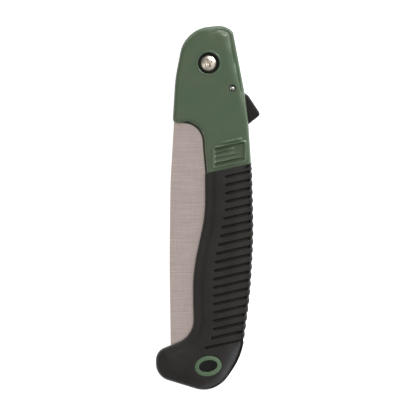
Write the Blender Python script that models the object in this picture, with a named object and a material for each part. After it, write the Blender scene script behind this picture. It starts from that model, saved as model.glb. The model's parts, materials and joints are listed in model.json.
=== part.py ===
"""Folding pruning saw, folded, lying on its side.

Blender units are metres, +Z up. The handle runs along Y with the pivot end towards +Y. The open side of the
handle, where the blade folds in, faces -X, and the back with the lock lever faces +X. The origin is on the
surface the saw lies on, under the middle of the saw.

Every size below is in millimetres. Plan shapes are drawn about the blade's pivot, or about the lever's pin
for the lever's pieces, and heights are measured from the middle plane of the blade.
"""

import math

import bmesh
import bpy
from mathutils import Vector

MM = 0.001

# Driving dimensions
PIVOT = (0.48, 90.82)  # the blade's pivot, from the origin
GRIP_HALF = 11.0  # half the thickness over the rubber grip
HEAD_HALF = 10.2  # half the thickness of the hard head
SLOT_HALF = 2.2  # half the width of the slot that the blade folds into
BLADE_HALF = 0.7  # half the thickness of the blade
SKIN = 2.0  # thickness of the rubber over the core
GAP = 0.3  # left between pieces that touch

# The grip's boundary and its grooves all rise to the right by this much
TILT = math.radians(12.5)
BOUNDARY = -67.3  # distance of the head's end from the pivot, measured square to the grooves
GROOVE_COUNT = 21
GROOVE_PITCH = 5.11
FIRST_GROOVE = -72.3
GROOVE_WIDTH = 1.9
GROOVE_DEPTH = 0.9
SMOOTH_BAND = 12.8  # plain strip between the front edge and the grooves
LAST_GROOVE_START = -40.6  # along the groove; the hook is too wide there to measure from its front

BACK_EDGE = 4.6  # rounding of the grip along its back
FRONT_EDGE = 3.4  # rounding of the grip along its front
HEAD_BACK_EDGE = 4.6
HEAD_FRONT_EDGE = 2.2

# Pivot hardware, M5
SCREW_R = 2.5
SCREW_HEAD_R = 5.1
SCREW_HEAD_HEIGHT = 3.5
SEAT = 4.4  # height of the screw washer's and the nut's seats
WASHER_THICK = 0.9
COUNTERBORE_R = 6.75
BUSH_R = 4.0
BUSH_BORE_R = SCREW_R + GAP
BLADE_HOLE_R = BUSH_R + GAP
THRUST_R = 9.0
NUT_FLATS = 8.0
NUT_HEX_HEIGHT = 3.2
NUT_HEIGHT = 4.9
NUT_COLLAR_R = 3.9
INSERT_R = 3.4
INSERT_THICK = 1.15
WASHER_R = 6.3

# Lock lever
PIN = (15.0, -15.7)  # the lever's pin, from the blade's pivot
PIN_R = 1.25
LEVER_HALF = 4.0
PAWL_HALF = 1.2
NOSE_ANGLE = math.radians(-10)  # direction of the pawl's nose, seen from the blade's pivot

# Blade
TANG_R = 12.0
OPEN_SWING = math.radians(170)
NOTCH_DEPTH = 1.5
NOTCH_HALF = 6  # degrees of the heel that each lock notch takes, to each side
TOOTH_HEEL = (14.0, -44.5)
TOOTH_TOE = (-3.2, -189.5)
TOOTH_COUNT = 35
TOOTH_HEIGHT = 3.4
SLOT_END_R = 190.4

# Lanyard eye, an ellipse that leans like the grooves do
EYE = (-0.4, -190.5)
EYE_LEAN = math.radians(11)
EYE_HOLE = (6.2, 4.0)
EYE_COLLAR = (8.65, 6.5)

# Outlines: corners as (x, y, radius of the corner), in order round the shape
HEAD_OUTLINE = [
    (-22.7, -37.3, 2.6),
    (-21.0, -9.5, 90.0),
    (-15.0, 21.6, 20.0),
    (9.1, 23.9, 12.0),
    (15.3, 20.3, 5.0),
    (20.3, -6.0, 150.0),
    (22.5, -17.5, 60.0),
    (25.3, -40.0, 120.0),
    (28.2, -84.0, 0.0),
    (0.3, -84.0, 0.0),
    (-2.3, -55.0, 60.0),
    (-3.5, -37.3, 12.0),
]
GRIP_OUTLINE = [
    (-2.4, -50.0, 0.0),
    (26.9, -50.0, 0.0),
    (27.6, -74.0, 200.0),
    (28.5, -108.0, 350.0),
    (26.3, -145.0, 300.0),
    (20.9, -184.3, 44.0),
    (9.5, -201.0, 20.0),
    (-1.4, -206.8, 17.0),
    (-33.2, -197.1, 11.0),
    (-33.2, -181.3, 8.0),
    (-9.3, -171.7, 15.0),
    (-9.8, -150.0, 200.0),
    (-9.9, -131.5, 110.0),
    (-2.2, -95.5, 90.0),
]
LEVER_OUTLINE = [  # about the pin
    (-3.6, 1.0, 3.0),
    (1.4, 4.4, 3.2),
    (6.6, -2.2, 4.0),
    (9.9, -4.4, 2.5),
    (17.9, -16.5, 2.3),
    (9.4, -23.3, 1.0),
    (4.4, -23.3, 1.5),
    (1.6, -13.0, 6.0),
    (-3.4, -3.6, 3.0),
]
PAWL_OUTLINE = [  # about the pin
    (-3.0, -3.0, 2.6),
    (-2.9, 3.0, 2.0),
    (-1.6, 11.6, 0.3),
    (-2.9, 12.0, 0.3),
    (-2.75, 14.4, 0.3),
    (-0.1, 14.6, 0.8),
    (3.0, 3.0, 3.0),
    (7.0, -4.5, 2.0),
    (12.0, -16.0, 1.5),
    (7.0, -18.5, 1.5),
    (3.0, -6.0, 3.0),
]
SPRING_LEG_ROOM = [(-9.0, -8.0), (-1.6, -8.0), (-0.6, 0.0), (-9.0, 0.0)]  # about the pin
LEVER_ROOM = [
    (10.7, -11.2, 3.0),
    (16.6, -10.4, 3.0),
    (22.0, -16.4, 1.0),
    (40.0, -16.4, 0.0),
    (40.0, -40.4, 0.0),
    (14.8, -40.4, 2.0),
    (13.6, -27.0, 4.0),
    (10.7, -19.5, 3.0),
]
SLOT_WALL = [
    (8.6, -184.0),
    (17.6, -60.0),
    (17.6, -42.0),
    (17.6, -17.0),
    (18.6, -12.0),
    (17.0, -3.0),
    (10.6, 30.0),
]
BLADE_SPINE = [
    (-12.2, -3.0, 3.0),
    (-13.4, -21.8, 2.0),
    (-21.6, -28.4, 3.0),
    (-22.1, -39.5, 20.0),
    (-24.2, -76.0, 250.0),
    (-24.7, -125.0, 900.0),
    (-23.9, -184.2, 8.0),
    (-10.0, -188.6, 30.0),
]
BLADE_HEEL = [(13.2, -42.0), (12.4, -34.0), (10.7, -20.0)]

# Thumb panel: left and right are x, the levels are measured square to the grooves
PANEL = {"left": 4.3, "right": 21.8, "top": -53.2, "bottom": -64.0}
PANEL_DEPTH = 0.9
PANEL_RIBS = 3
PANEL_RIB = 0.8
PANEL_RIB_END = 16.0
BROW = {"left": 5.6, "right": 20.4, "top": -50.6, "bottom": -52.4}
BROW_PROUD = 0.5

FAR = 30.0  # past every face of the saw, for cutters that go right through


def vector(x, y):
    return Vector((x, y))


def rounded(corners, spacing=0.2, arc_step=math.radians(14), longest=14.0):
    """Points round the outline, anticlockwise, with each corner turned into an arc of its own radius.

    Where two arcs would meet past the middle of their side, both radii shrink until they fit. Points closer
    together than the spacing are dropped.
    """
    places = [vector(x, y) for x, y, _ in corners]
    count = len(places)
    turns = []
    for i, corner in enumerate(places):
        turns.append(math.pi - (places[i - 1] - corner).angle(places[(i + 1) % count] - corner))
    tangents = [radius * math.tan(turn / 2) for (_, _, radius), turn in zip(corners, turns, strict=True)]
    fits = [1.0] * count
    for i in range(count):
        j = (i + 1) % count
        room = 0.98 * (places[j] - places[i]).length / max(tangents[i] + tangents[j], 1e-9)
        fits[i], fits[j] = min(fits[i], room), min(fits[j], room)

    points = []
    for i, corner in enumerate(places):
        radius = corners[i][2] * fits[i]
        if radius == 0:
            points.append(corner)
            continue
        before = (places[i - 1] - corner).normalized()
        after = (places[(i + 1) % count] - corner).normalized()
        start = corner + before * tangents[i] * fits[i]
        centre = corner + (before + after).normalized() * radius / math.cos(turns[i] / 2)
        side = -math.copysign(1, before.cross(after))
        steps = max(math.ceil(turns[i] / arc_step), math.ceil(turns[i] * radius / longest), 1)
        for k in range(steps + 1):
            points.append(centre + turned(start - centre, side * turns[i] * k / steps))
    kept = [points[0]]
    for point in points[1:]:
        if (point - kept[-1]).length > spacing and (point - kept[0]).length > spacing:
            kept.append(point)
    return kept if signed_area(kept) > 0 else kept[::-1]


def turned(point, angle):
    c, s = math.cos(angle), math.sin(angle)
    return vector(point.x * c - point.y * s, point.x * s + point.y * c)


def signed_area(points):
    return sum(a.cross(b) for a, b in zip(points, points[1:] + points[:1], strict=True)) / 2


def inset(points, distance):
    """The outline moved inwards. distance is a number, or a function of the point."""
    moved = []
    for i, point in enumerate(points):
        before = (point - points[i - 1]).normalized()
        after = (points[(i + 1) % len(points)] - point).normalized()
        inward = (turned(before, math.pi / 2) + turned(after, math.pi / 2)).normalized()
        stretch = 1 / max(inward.dot(turned(after, math.pi / 2)), 0.5)
        by = distance(point) if callable(distance) else distance
        moved.append(point + inward * by * stretch)
    return moved


def circle(radius, count=32, centre=(0, 0), start=0.0):
    return [
        vector(*centre) + turned(vector(radius, 0), start + 2 * math.pi * k / count) for k in range(count)
    ]


def ellipse(radii, count=36, grow=0.0):
    """The lanyard eye's ellipse, leaning, with both radii larger by grow."""
    return [
        vector(*EYE) + turned(vector((radii[0] + grow) * p.x, (radii[1] + grow) * p.y), EYE_LEAN)
        for p in circle(1.0, count)
    ]


def slanted(p, q):
    """The plan point at p along the grooves' direction and q square to it."""
    return turned(vector(p, q), TILT)


def on_level(x, q):
    """The plan point at x that is q square to the grooves."""
    return vector(x, (q + x * math.sin(TILT)) / math.cos(TILT))


def make_object(name, mesh, parent, material=None):
    for polygon in mesh.polygons:
        polygon.use_smooth = True
    mesh.set_sharp_from_angle(angle=math.radians(40))
    made = bpy.data.objects.new(name, mesh)
    bpy.context.collection.objects.link(made)
    made.parent = parent
    if material:
        mesh.materials.append(material)
    else:
        made.hide_render = True
        made.display_type = "WIRE"
    return made


def stack(name, rings, parent, material=None):
    """A closed solid from outlines stacked from the bottom up, each (points, height)."""
    mesh = bpy.data.meshes.new(name)
    bm = bmesh.new()
    rows = [[bm.verts.new((p.x * MM, p.y * MM, z * MM)) for p in points] for points, z in rings]
    for low, high in zip(rows, rows[1:], strict=False):
        for i in range(len(low)):
            j = (i + 1) % len(low)
            bm.faces.new((low[i], low[j], high[j], high[i]))
    bm.faces.new(rows[0][::-1])
    bm.faces.new(rows[-1])
    bm.to_mesh(mesh)
    bm.free()
    return make_object(name, mesh, parent, material)


def prism(name, points, low, high, parent, material=None, bevel=0.0):
    """The outline extruded from low to high, with its top and bottom edges bevelled."""
    if not bevel:
        return stack(name, [(points, low), (points, high)], parent, material)
    small = inset(points, bevel)
    rings = [(small, low), (points, low + bevel), (points, high - bevel), (small, high)]
    return stack(name, rings, parent, material)


def pillow(name, points, half, edge, parent, material=None, steps=3):
    """The outline as a slab 2 * half thick, its edges rounded by the radius that edge gives at a point."""
    rings = []
    for k in range(steps + 1):
        angle = math.pi / 2 * k / steps
        reach = 1 - math.cos(angle)
        ring = inset(points, lambda point, reach=reach: edge(point) * reach)
        rings.append((ring, math.sin(angle)))
    layers = []
    for side in (-1, 1):
        for ring, rise in rings[::side]:
            layers.append((ring, side, rise))
    return shaped(name, layers, points, half, edge, parent, material)


def shaped(name, layers, points, half, edge, parent, material):
    """Like stack, but each point's height follows its own edge radius."""
    mesh = bpy.data.meshes.new(name)
    bm = bmesh.new()
    rows = []
    for ring, side, rise in layers:
        row = []
        for rim, p in zip(points, ring, strict=True):
            z = side * (half - edge(rim) * (1 - rise))
            row.append(bm.verts.new((p.x * MM, p.y * MM, z * MM)))
        rows.append(row)
    for low, high in zip(rows, rows[1:], strict=False):
        for i in range(len(low)):
            j = (i + 1) % len(low)
            bm.faces.new((low[i], low[j], high[j], high[i]))
    bm.faces.new(rows[0][::-1])
    bm.faces.new(rows[-1])
    bm.to_mesh(mesh)
    bm.free()
    return make_object(name, mesh, parent, material)


def lathe(name, profile, parent, material=None, count=32, centre=(0, 0)):
    """A closed profile of (radius, height) corners, none of them on the axis, turned about a vertical axis."""
    mesh = bpy.data.meshes.new(name)
    bm = bmesh.new()
    rows = []
    for k in range(count):
        way = turned(vector(1, 0), 2 * math.pi * k / count)
        rows.append(
            [
                bm.verts.new(((centre[0] + way.x * r) * MM, (centre[1] + way.y * r) * MM, z * MM))
                for r, z in profile
            ]
        )
    for k in range(count):
        here, there = rows[k], rows[(k + 1) % count]
        for i in range(len(profile)):
            j = (i + 1) % len(profile)
            bm.faces.new((here[i], there[i], there[j], here[j]))
    bm.to_mesh(mesh)
    bm.free()
    return make_object(name, mesh, parent, material)


def add_boolean(target, other, operation):
    modifier = target.modifiers.new(f"{operation.lower()} {other.name}", "BOOLEAN")
    modifier.operation = operation
    modifier.solver = "EXACT"
    modifier.object = other


def cut(target, *cutters):
    for cutter in cutters:
        add_boolean(target, cutter, "DIFFERENCE")


def join(target, *others):
    for other in others:
        add_boolean(target, other, "UNION")


def smooth_step(value, low, high):
    t = min(max((value - low) / (high - low), 0.0), 1.0)
    return t * t * (3 - 2 * t)


def head_edge(point):
    """Rounding of the head's edge: small along the open front, large over the top and down the back."""
    back = max(smooth_step(point.x, -17, 6), smooth_step(point.y, 4, 18))
    return HEAD_FRONT_EDGE + (HEAD_BACK_EDGE - HEAD_FRONT_EDGE) * back


def grip_edge(point):
    return FRONT_EDGE + (BACK_EDGE - FRONT_EDGE) * smooth_step(point.x, -4, 14)


def half_plane(name, limit, above, parent):
    """A block that covers everything above, or below, the slanted line at limit."""
    wide = 100
    far = 300 if above else -300
    corners = [slanted(-wide, limit), slanted(wide, limit), slanted(wide, far), slanted(-wide, far)]
    return prism(name, corners if above else corners[::-1], -FAR, FAR, parent)


def back_of(outline, q):
    """How far along the grooves' direction the outline reaches, on the line at q."""
    flat = [turned(point, -TILT) for point in outline]
    found = []
    for a, b in zip(flat, flat[1:] + flat[:1], strict=True):
        if (a.y - q) * (b.y - q) <= 0 and a.y != b.y:
            found.append(a.x + (b.x - a.x) * (q - a.y) / (b.y - a.y))
    return min(found), max(found)


def groove_section(outline, q, last):
    """One groove's C shape, from the face over the back to the other face, as (p, z) points."""
    front, back = back_of(outline, q)
    start = LAST_GROOVE_START if last else front + SMOOTH_BAND
    inner = BACK_EDGE - GROOVE_DEPTH
    level = GRIP_HALF - GROOVE_DEPTH
    outside = GRIP_HALF + 1.0
    section = [(start - 1.0, outside), (start + 0.6, level)]
    for k in range(5):
        angle = math.pi / 2 * (1 - k / 4)
        section.append((back - BACK_EDGE + inner * math.cos(angle), level - inner + inner * math.sin(angle)))
    section += [(p, -z) for p, z in section[::-1]]
    return section + [(back + 2.0, -outside), (back + 2.0, outside)]


def grooves(outline, parent):
    """Every groove of the grip in one cutter."""
    mesh = bpy.data.meshes.new("groove_cutter")
    bm = bmesh.new()
    for k in range(GROOVE_COUNT):
        q = FIRST_GROOVE - GROOVE_PITCH * k
        section = groove_section(outline, q, k == GROOVE_COUNT - 1)
        sides = []
        for edge in (q - GROOVE_WIDTH / 2, q + GROOVE_WIDTH / 2):
            plan = [slanted(p, edge) for p, _ in section]
            row = [
                bm.verts.new((at.x * MM, at.y * MM, z * MM))
                for at, (_, z) in zip(plan, section, strict=True)
            ]
            sides.append(row)
        low, high = sides
        for i in range(len(low)):
            j = (i + 1) % len(low)
            bm.faces.new((low[i], high[i], high[j], low[j]))
        bm.faces.new(low)
        bm.faces.new(high[::-1])
    bmesh.ops.recalc_face_normals(bm, faces=bm.faces)
    bm.to_mesh(mesh)
    bm.free()
    return make_object("groove_cutter", mesh, parent)


def slot_cutter(parent):
    """The slot: open at the front and the top, closed by the back wall and an arc past the blade's tip."""
    end = [turned(vector(0, -SLOT_END_R), math.radians(angle)) for angle in range(-14, 3, 4)]
    points = [vector(-46, 30)] + end + [vector(*at) for at in SLOT_WALL]
    return prism("slot_cutter", points, -SLOT_HALF, SLOT_HALF, parent)


def lever_cavity(parent):
    """Room for the lever, open through the back of the handle, wide enough for it to be pressed in."""
    half = LEVER_HALF + GAP
    return prism("lever_cavity_cutter", rounded(LEVER_ROOM), -half, half, parent)


def panel_cutter(side, parent):
    """Four strips side by side, which leave the thumb panel's ribs standing, and join at their right end."""
    left, right = PANEL["left"], PANEL["right"]
    strips = PANEL_RIBS + 1
    height = (PANEL["top"] - PANEL["bottom"] - PANEL_RIBS * PANEL_RIB) / strips
    plan = [on_level(right, PANEL["bottom"]), on_level(right, PANEL["top"])]
    level = PANEL["top"]
    for k in range(strips):
        plan += [on_level(left, level), on_level(left, level - height)]
        level -= height
        if k < PANEL_RIBS:
            plan += [on_level(PANEL_RIB_END, level), on_level(PANEL_RIB_END, level - PANEL_RIB)]
            level -= PANEL_RIB
    low, high = sorted((side * (HEAD_HALF - PANEL_DEPTH), side * (HEAD_HALF + 2)))
    return prism(f"panel_cutter_{low:.0f}", plan, low, high, parent)


def brow(side, parent):
    """The low ridge above the thumb panel."""
    left, right = BROW["left"], BROW["right"]
    low, high = BROW["bottom"], BROW["top"]
    corners = [(left, low), (right, low), (right, high), (left, high)]
    plan = rounded([(*on_level(x, q), 0.8) for x, q in corners])
    low, high = sorted((side * (HEAD_HALF - 2), side * (HEAD_HALF + BROW_PROUD)))
    return prism(f"brow_{low:.0f}", plan, low, high, parent)


def tongue(name, extra, parent):
    """The part of the core that the rubber covers, larger by extra."""
    outline = inset(rounded(GRIP_OUTLINE, 1.0), SKIN + GAP - extra)
    trim = SKIN + GAP - extra
    return pillow(name, outline, GRIP_HALF - trim, lambda point: grip_edge(point) - trim, parent)


def build_core(frame, green):
    core = pillow("handle_core", rounded(HEAD_OUTLINE, 0.5), HEAD_HALF, head_edge, frame, green)
    cut(core, half_plane("head_end_cutter", BOUNDARY, False, frame))
    collar = prism("eye_collar", ellipse(EYE_COLLAR), 0.2 - GRIP_HALF, GRIP_HALF - 0.2, frame, bevel=0.5)
    join(core, tongue("core_tongue", 0.0, frame), collar, brow(1, frame), brow(-1, frame))
    hexagon = circle((NUT_FLATS + 0.8) / math.sqrt(3), 6, start=math.radians(30))
    cut(
        core,
        slot_cutter(frame),
        lever_cavity(frame),
        prism("eye_cutter", ellipse(EYE_HOLE), -FAR, FAR, frame),
        prism("screw_bore", circle(SCREW_R + GAP, 24), -FAR, FAR, frame),
        prism("counterbore", circle(COUNTERBORE_R, 40), SEAT, FAR, frame),
        prism("nut_pocket", hexagon, -FAR, -SEAT, frame),
        prism("pin_bore", circle(PIN_R + GAP, 20, PIN), -FAR, FAR, frame),
        panel_cutter(1, frame),
        panel_cutter(-1, frame),
    )
    return core


def build_grip(frame, rubber):
    outline = rounded(GRIP_OUTLINE, 1.0)
    grip = pillow("grip_overmould", outline, GRIP_HALF, grip_edge, frame, rubber)
    cut(
        grip,
        half_plane("grip_end_cutter", BOUNDARY - GAP, True, frame),
        tongue("grip_hollow_cutter", GAP, frame),
        bpy.data.objects["slot_cutter"],
        grooves(outline, frame),
        prism("grip_eye_cutter", ellipse(EYE_COLLAR, grow=GAP), -FAR, FAR, frame),
    )
    return grip


def tang_points():
    """The round heel of the blade with its two lock notches, for the open and the folded blade."""
    notches = [NOSE_ANGLE, NOSE_ANGLE + OPEN_SWING]
    points = []
    for degrees in range(-36, 186, 6):
        angle = math.radians(degrees)
        if all(abs(angle - notch) > math.radians(NOTCH_HALF + 2.5) for notch in notches):
            points.append((angle, TANG_R))
    for notch in notches:
        for side, depths in ((-1, (0, NOTCH_DEPTH)), (1, (NOTCH_DEPTH, 0))):
            for depth in depths:
                offset = side * (NOTCH_HALF if depth else NOTCH_HALF + 1)
                points.append((notch + math.radians(offset), TANG_R - depth))
    return [turned(vector(radius, 0), angle) for angle, radius in sorted(points)]


def tooth_points():
    """The teeth from the toe up to the heel, raked towards the handle for a pull cut."""
    toe, heel = vector(*TOOTH_TOE), vector(*TOOTH_HEEL)
    along = (heel - toe) / TOOTH_COUNT
    inward = turned(along.normalized(), math.pi / 2) * TOOTH_HEIGHT
    points = []
    for k in range(TOOTH_COUNT):
        points += [toe + along * (k + 0.08) + inward, toe + along * (k + 0.62)]
        points.append(toe + along * (k + 0.92) + inward)
    return points


def blade_outline():
    start, end = (-TANG_R + 0.1, 0.5), (TOOTH_TOE[0] - 1.2, TOOTH_TOE[1] + 0.1)
    path = rounded([(*start, 0.0)] + BLADE_SPINE + [(*end, 0.0)])
    first = min(range(len(path)), key=lambda i: (path[i] - vector(*start)).length)
    path = path[first:] + path[:first]
    return tang_points() + path + tooth_points() + [vector(*at) for at in BLADE_HEEL]


def build_blade(axis, steel):
    blade = prism("blade", blade_outline(), -BLADE_HALF, BLADE_HALF, axis, steel)
    cut(blade, prism("blade_hole_cutter", circle(BLADE_HOLE_R), -5, 5, axis))
    return blade


def ring(name, inner, outer, low, high, parent, material, count=32):
    profile = [(inner, low), (outer, low), (outer, high), (inner, high)]
    return lathe(name, profile, parent, material, count)


def on_hexagon(point):
    """The point drawn in towards the middle until it is on the nut's hexagon."""
    angle = math.atan2(point.y, point.x)
    reach = max(math.cos(angle - math.pi / 3 * k) for k in range(6)) * point.length
    return point * min(1.0, NUT_FLATS / 2 / reach)


def build_pivot(frame, zinc, blackened, nylon):
    """The M5 screw, its washer and lock nut, the bush the blade turns on and the two thrust washers."""
    washer_low = SEAT + GAP
    head_low = washer_low + WASHER_THICK + GAP
    head_top = head_low + SCREW_HEAD_HEIGHT
    tip = -SEAT - NUT_HEIGHT - 0.4
    rim = SCREW_HEAD_R
    rings = [
        (circle(SCREW_R - 0.5, 32), tip),
        (circle(SCREW_R, 32), tip + 0.5),
        (circle(SCREW_R, 32), head_low),
        (circle(rim, 32), head_low),
        (circle(rim, 32), head_low + 1.4),
        (circle(rim * 0.93, 32), head_low + 2.4),
        (circle(rim * 0.72, 32), head_top - 0.25),
        (circle(rim * 0.4, 32), head_top),
    ]
    screw = stack("pivot_screw", rings, frame, zinc)
    cross = []
    for k in range(4):
        for x, y in ((0.75, -0.75), (2.7, -0.5), (2.7, 0.5)):
            cross.append(turned(vector(x, y), math.pi / 2 * k + math.radians(25)))
    cut(screw, prism("cross_recess_cutter", cross, head_top - 1.8, head_top + 3, frame))

    ring("screw_washer", SCREW_R + GAP, WASHER_R, washer_low, washer_low + WASHER_THICK, frame, blackened)
    ring("pivot_bush", BUSH_BORE_R, BUSH_R, 0.2 - SLOT_HALF, SLOT_HALF - 0.2, frame, zinc)
    for name, side in (("blade_washer_upper", 1), ("blade_washer_lower", -1)):
        faces = sorted((side * (BLADE_HALF + GAP), side * (SLOT_HALF - GAP)))
        ring(name, BUSH_R + GAP, THRUST_R, *faces, frame, nylon)

    top = -SEAT - GAP
    bottom = top - NUT_HEIGHT
    shoulder = top - NUT_HEX_HEIGHT
    hexagon = [on_hexagon(point) for point in circle(NUT_FLATS / math.sqrt(3), 36, start=math.radians(30))]
    collar = circle(NUT_COLLAR_R, 36, start=math.radians(30))
    collar_small = circle(NUT_COLLAR_R - 0.4, 36, start=math.radians(30))
    nut_rings = [
        (collar_small, bottom),
        (collar, bottom + 0.5),
        (collar, shoulder),
        (hexagon, shoulder),
        (hexagon, top),
    ]
    nut = stack("pivot_nut", nut_rings, frame, zinc)
    cut(
        nut,
        prism("nut_bore", circle(SCREW_R + GAP, 24), -FAR, 0, frame),
        prism("nut_insert_seat", circle(INSERT_R + 0.15, 32), -FAR, bottom + INSERT_THICK + 0.35, frame),
    )
    insert_low = bottom + 0.15
    ring("nut_insert", SCREW_R + 0.15, INSERT_R, insert_low, insert_low + INSERT_THICK, frame, nylon)


def build_lever(axis, black, steel):
    lever = prism("lock_lever", rounded(LEVER_OUTLINE), -LEVER_HALF, LEVER_HALF, axis, black, bevel=0.6)
    pawl_plan = rounded(PAWL_OUTLINE)
    room = inset(pawl_plan, -GAP)
    cut(
        lever,
        prism("pawl_pocket_cutter", room, -PAWL_HALF - GAP, PAWL_HALF + GAP, axis),
        prism("coil_room_cutter", circle(3.7, 28), 0, 10, axis),
        prism("spring_leg_cutter", [vector(*at) for at in SPRING_LEG_ROOM], PAWL_HALF, 10, axis),
        prism("lever_bore", circle(PIN_R + GAP, 20), -10, 10, axis),
    )
    pawl = prism("lock_pawl", pawl_plan, -PAWL_HALF, PAWL_HALF, axis, steel)
    cut(pawl, bpy.data.objects["lever_bore"])


def build_pin(frame, zinc):
    half = HEAD_HALF - 0.4
    rings = [
        (circle(PIN_R - 0.25, 20, PIN), -half),
        (circle(PIN_R, 20, PIN), 0.25 - half),
        (circle(PIN_R, 20, PIN), half - 0.25),
        (circle(PIN_R - 0.25, 20, PIN), half),
    ]
    stack("lever_pin", rings, frame, zinc)


def build_spring(axis, spring_steel):
    """A torsion spring round the pin: one leg along the cavity's wall and one inside the lever."""
    wire_r, coil_r, turns, per_turn = 0.32, 2.2, 2.5, 14
    low, high = PAWL_HALF + GAP + wire_r, LEVER_HALF - wire_r
    start = math.radians(175)
    points = []
    steps = round(turns * per_turn)
    for k in range(steps + 1):
        at = turned(vector(coil_r, 0), start - 2 * math.pi * turns * k / steps)
        points.append((at.x, at.y, low + (high - low) * k / steps))
    path = [(-2.8, -6.2, low), (-2.35, -2.4, low)] + points + [(2.1, -2.3, high)]

    curve = bpy.data.curves.new("lever_spring", "CURVE")
    curve.dimensions = "3D"
    spline = curve.splines.new("POLY")
    spline.points.add(len(path) - 1)
    for point, at in zip(spline.points, path, strict=True):
        point.co = (*(value * MM for value in at), 1.0)
    curve.bevel_depth = wire_r * MM
    curve.bevel_resolution = 1
    curve.use_fill_caps = True
    curve.materials.append(spring_steel)
    spring = bpy.data.objects.new("lever_spring", curve)
    bpy.context.collection.objects.link(spring)
    spring.parent = axis


def make_material(name, colour, roughness, metallic=0.0):
    material = bpy.data.materials.new(name)
    material.use_nodes = True
    shader = material.node_tree.nodes["Principled BSDF"]
    shader.inputs["Base Color"].default_value = (*colour, 1.0)
    shader.inputs["Roughness"].default_value = roughness
    shader.inputs["Metallic"].default_value = metallic
    return material


def make_empty(name, x, y, parent=None):
    empty = bpy.data.objects.new(name, None)
    bpy.context.collection.objects.link(empty)
    empty.empty_display_size = 0.01
    empty.parent = parent
    empty.location = (x * MM, y * MM, 0.0 if parent else GRIP_HALF * MM)
    return empty


def main():
    for old in list(bpy.data.objects):
        bpy.data.objects.remove(old)

    green = make_material("green_plastic", (0.09, 0.14, 0.085), 0.42)
    rubber = make_material("black_rubber", (0.035, 0.032, 0.03), 0.7)
    steel = make_material("blade_steel", (0.42, 0.38, 0.35), 0.38, 1.0)
    zinc = make_material("zinc_steel", (0.72, 0.68, 0.62), 0.25, 1.0)
    nylon = make_material("white_nylon", (0.75, 0.74, 0.7), 0.5)
    black = make_material("black_plastic", (0.03, 0.027, 0.025), 0.5)
    blackened = make_material("blackened_steel", (0.02, 0.02, 0.02), 0.5, 1.0)
    spring_steel = make_material("spring_steel", (0.5, 0.5, 0.5), 0.3, 1.0)

    saw = make_empty("pivot_frame", *PIVOT)
    blade_axis = make_empty("blade_axis", 0, 0, saw)
    lever_axis = make_empty("lever_axis", *PIN, saw)

    build_core(saw, green)
    build_grip(saw, rubber)
    build_blade(blade_axis, steel)
    build_pivot(saw, zinc, blackened, nylon)
    build_pin(saw, zinc)
    build_lever(lever_axis, black, steel)
    build_spring(lever_axis, spring_steel)


main()
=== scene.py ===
"""Looks of the folding pruning saw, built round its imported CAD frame.

Plan shapes are in millimetres about the blade's pivot, with heights measured from the blade's middle plane, as
in the CAD. to_frame() turns them into metres in the row frame. The handle's grooves, its thumb panel and the
border between its two materials all rise to the right by TILT, so most of the handle is described in slanted
coordinates: p runs along the grooves and q square to them.
"""

import json
import math

import bmesh
import bpy
import numpy as np
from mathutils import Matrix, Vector


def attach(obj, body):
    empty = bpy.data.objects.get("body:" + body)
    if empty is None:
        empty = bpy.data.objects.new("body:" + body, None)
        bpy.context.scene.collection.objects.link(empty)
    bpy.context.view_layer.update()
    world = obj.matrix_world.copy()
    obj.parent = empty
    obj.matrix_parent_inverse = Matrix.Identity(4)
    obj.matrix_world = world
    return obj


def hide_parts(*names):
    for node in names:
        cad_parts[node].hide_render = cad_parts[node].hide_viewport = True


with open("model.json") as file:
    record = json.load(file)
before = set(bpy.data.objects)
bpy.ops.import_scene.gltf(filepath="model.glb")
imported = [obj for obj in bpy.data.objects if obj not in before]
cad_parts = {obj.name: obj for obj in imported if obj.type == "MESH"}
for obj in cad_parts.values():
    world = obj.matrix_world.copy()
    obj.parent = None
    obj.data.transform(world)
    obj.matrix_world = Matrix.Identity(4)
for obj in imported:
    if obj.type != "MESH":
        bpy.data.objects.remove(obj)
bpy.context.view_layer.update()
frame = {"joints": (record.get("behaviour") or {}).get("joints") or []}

MM = 0.001
JOINTS = {joint["name"]: joint for joint in frame["joints"]}
PIVOT = Vector(JOINTS["blade_swing"]["pos_m"]) / MM
PIN = Vector(JOINTS["lever_press"]["pos_m"]) / MM - PIVOT

# The handle, as in the CAD
TILT = math.radians(12.5)
HEAD_HALF = 10.2
GRIP_HALF = 11.0
SLOT_HALF = 2.2
SLOT_END = 190.4
SKIN = 3.3
BORDER = -67.3
GROOVE_COUNT = 21
GROOVE_PITCH = 5.11
FIRST_GROOVE = -72.3
SHORT_GROOVE = -68.9
LAST_STARTS = (-33.8, -36.3, -41.4)
GROOVE_DEPTH = 1.8
SCALLOP_DEPTH = 0.5
SMOOTH_BAND = 13.0
EYE = np.array([-0.4, -190.5])
EYE_LEAN = math.radians(11)
EYE_HOLE = (5.8, 3.6)
EYE_COLLAR = (8.65, 6.5)

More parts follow.
